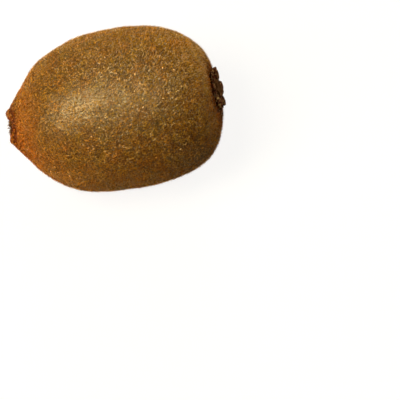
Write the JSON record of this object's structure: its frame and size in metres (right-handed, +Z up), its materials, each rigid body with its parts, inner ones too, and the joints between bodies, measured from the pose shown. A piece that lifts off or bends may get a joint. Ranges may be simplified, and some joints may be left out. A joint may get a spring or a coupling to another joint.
{
  "type": "kiwi fruit",
  "caption": "Whole brown furry kiwi fruit lying on its side, with a puckered beak at one end and a crown of dried sepals round its stalk scar at the other.",
  "frame": {"origin": "middle of the whole fruit's box, on the surface that the flat spot rests on", "axes": "+X along the fruit towards the stalk scar, +Y across it, +Z up from the surface it lies on"},
  "size_m": [0.0686, 0.0504, 0.0467],
  "materials": {
    "skin": "matte brown skin covered with short stiff golden-brown hairs",
    "stalk": "rough dry brown cork",
    "sepal": "dried, crumpled and nearly black, with tan flecks",
    "style": "withered dark brown bristles"
  },
  "bodies": {
    "root": {"fruit": "skin", "stalk_stub": "stalk", "sepals": "sepal", "styles": "style"}
  },
  "joints": []
}
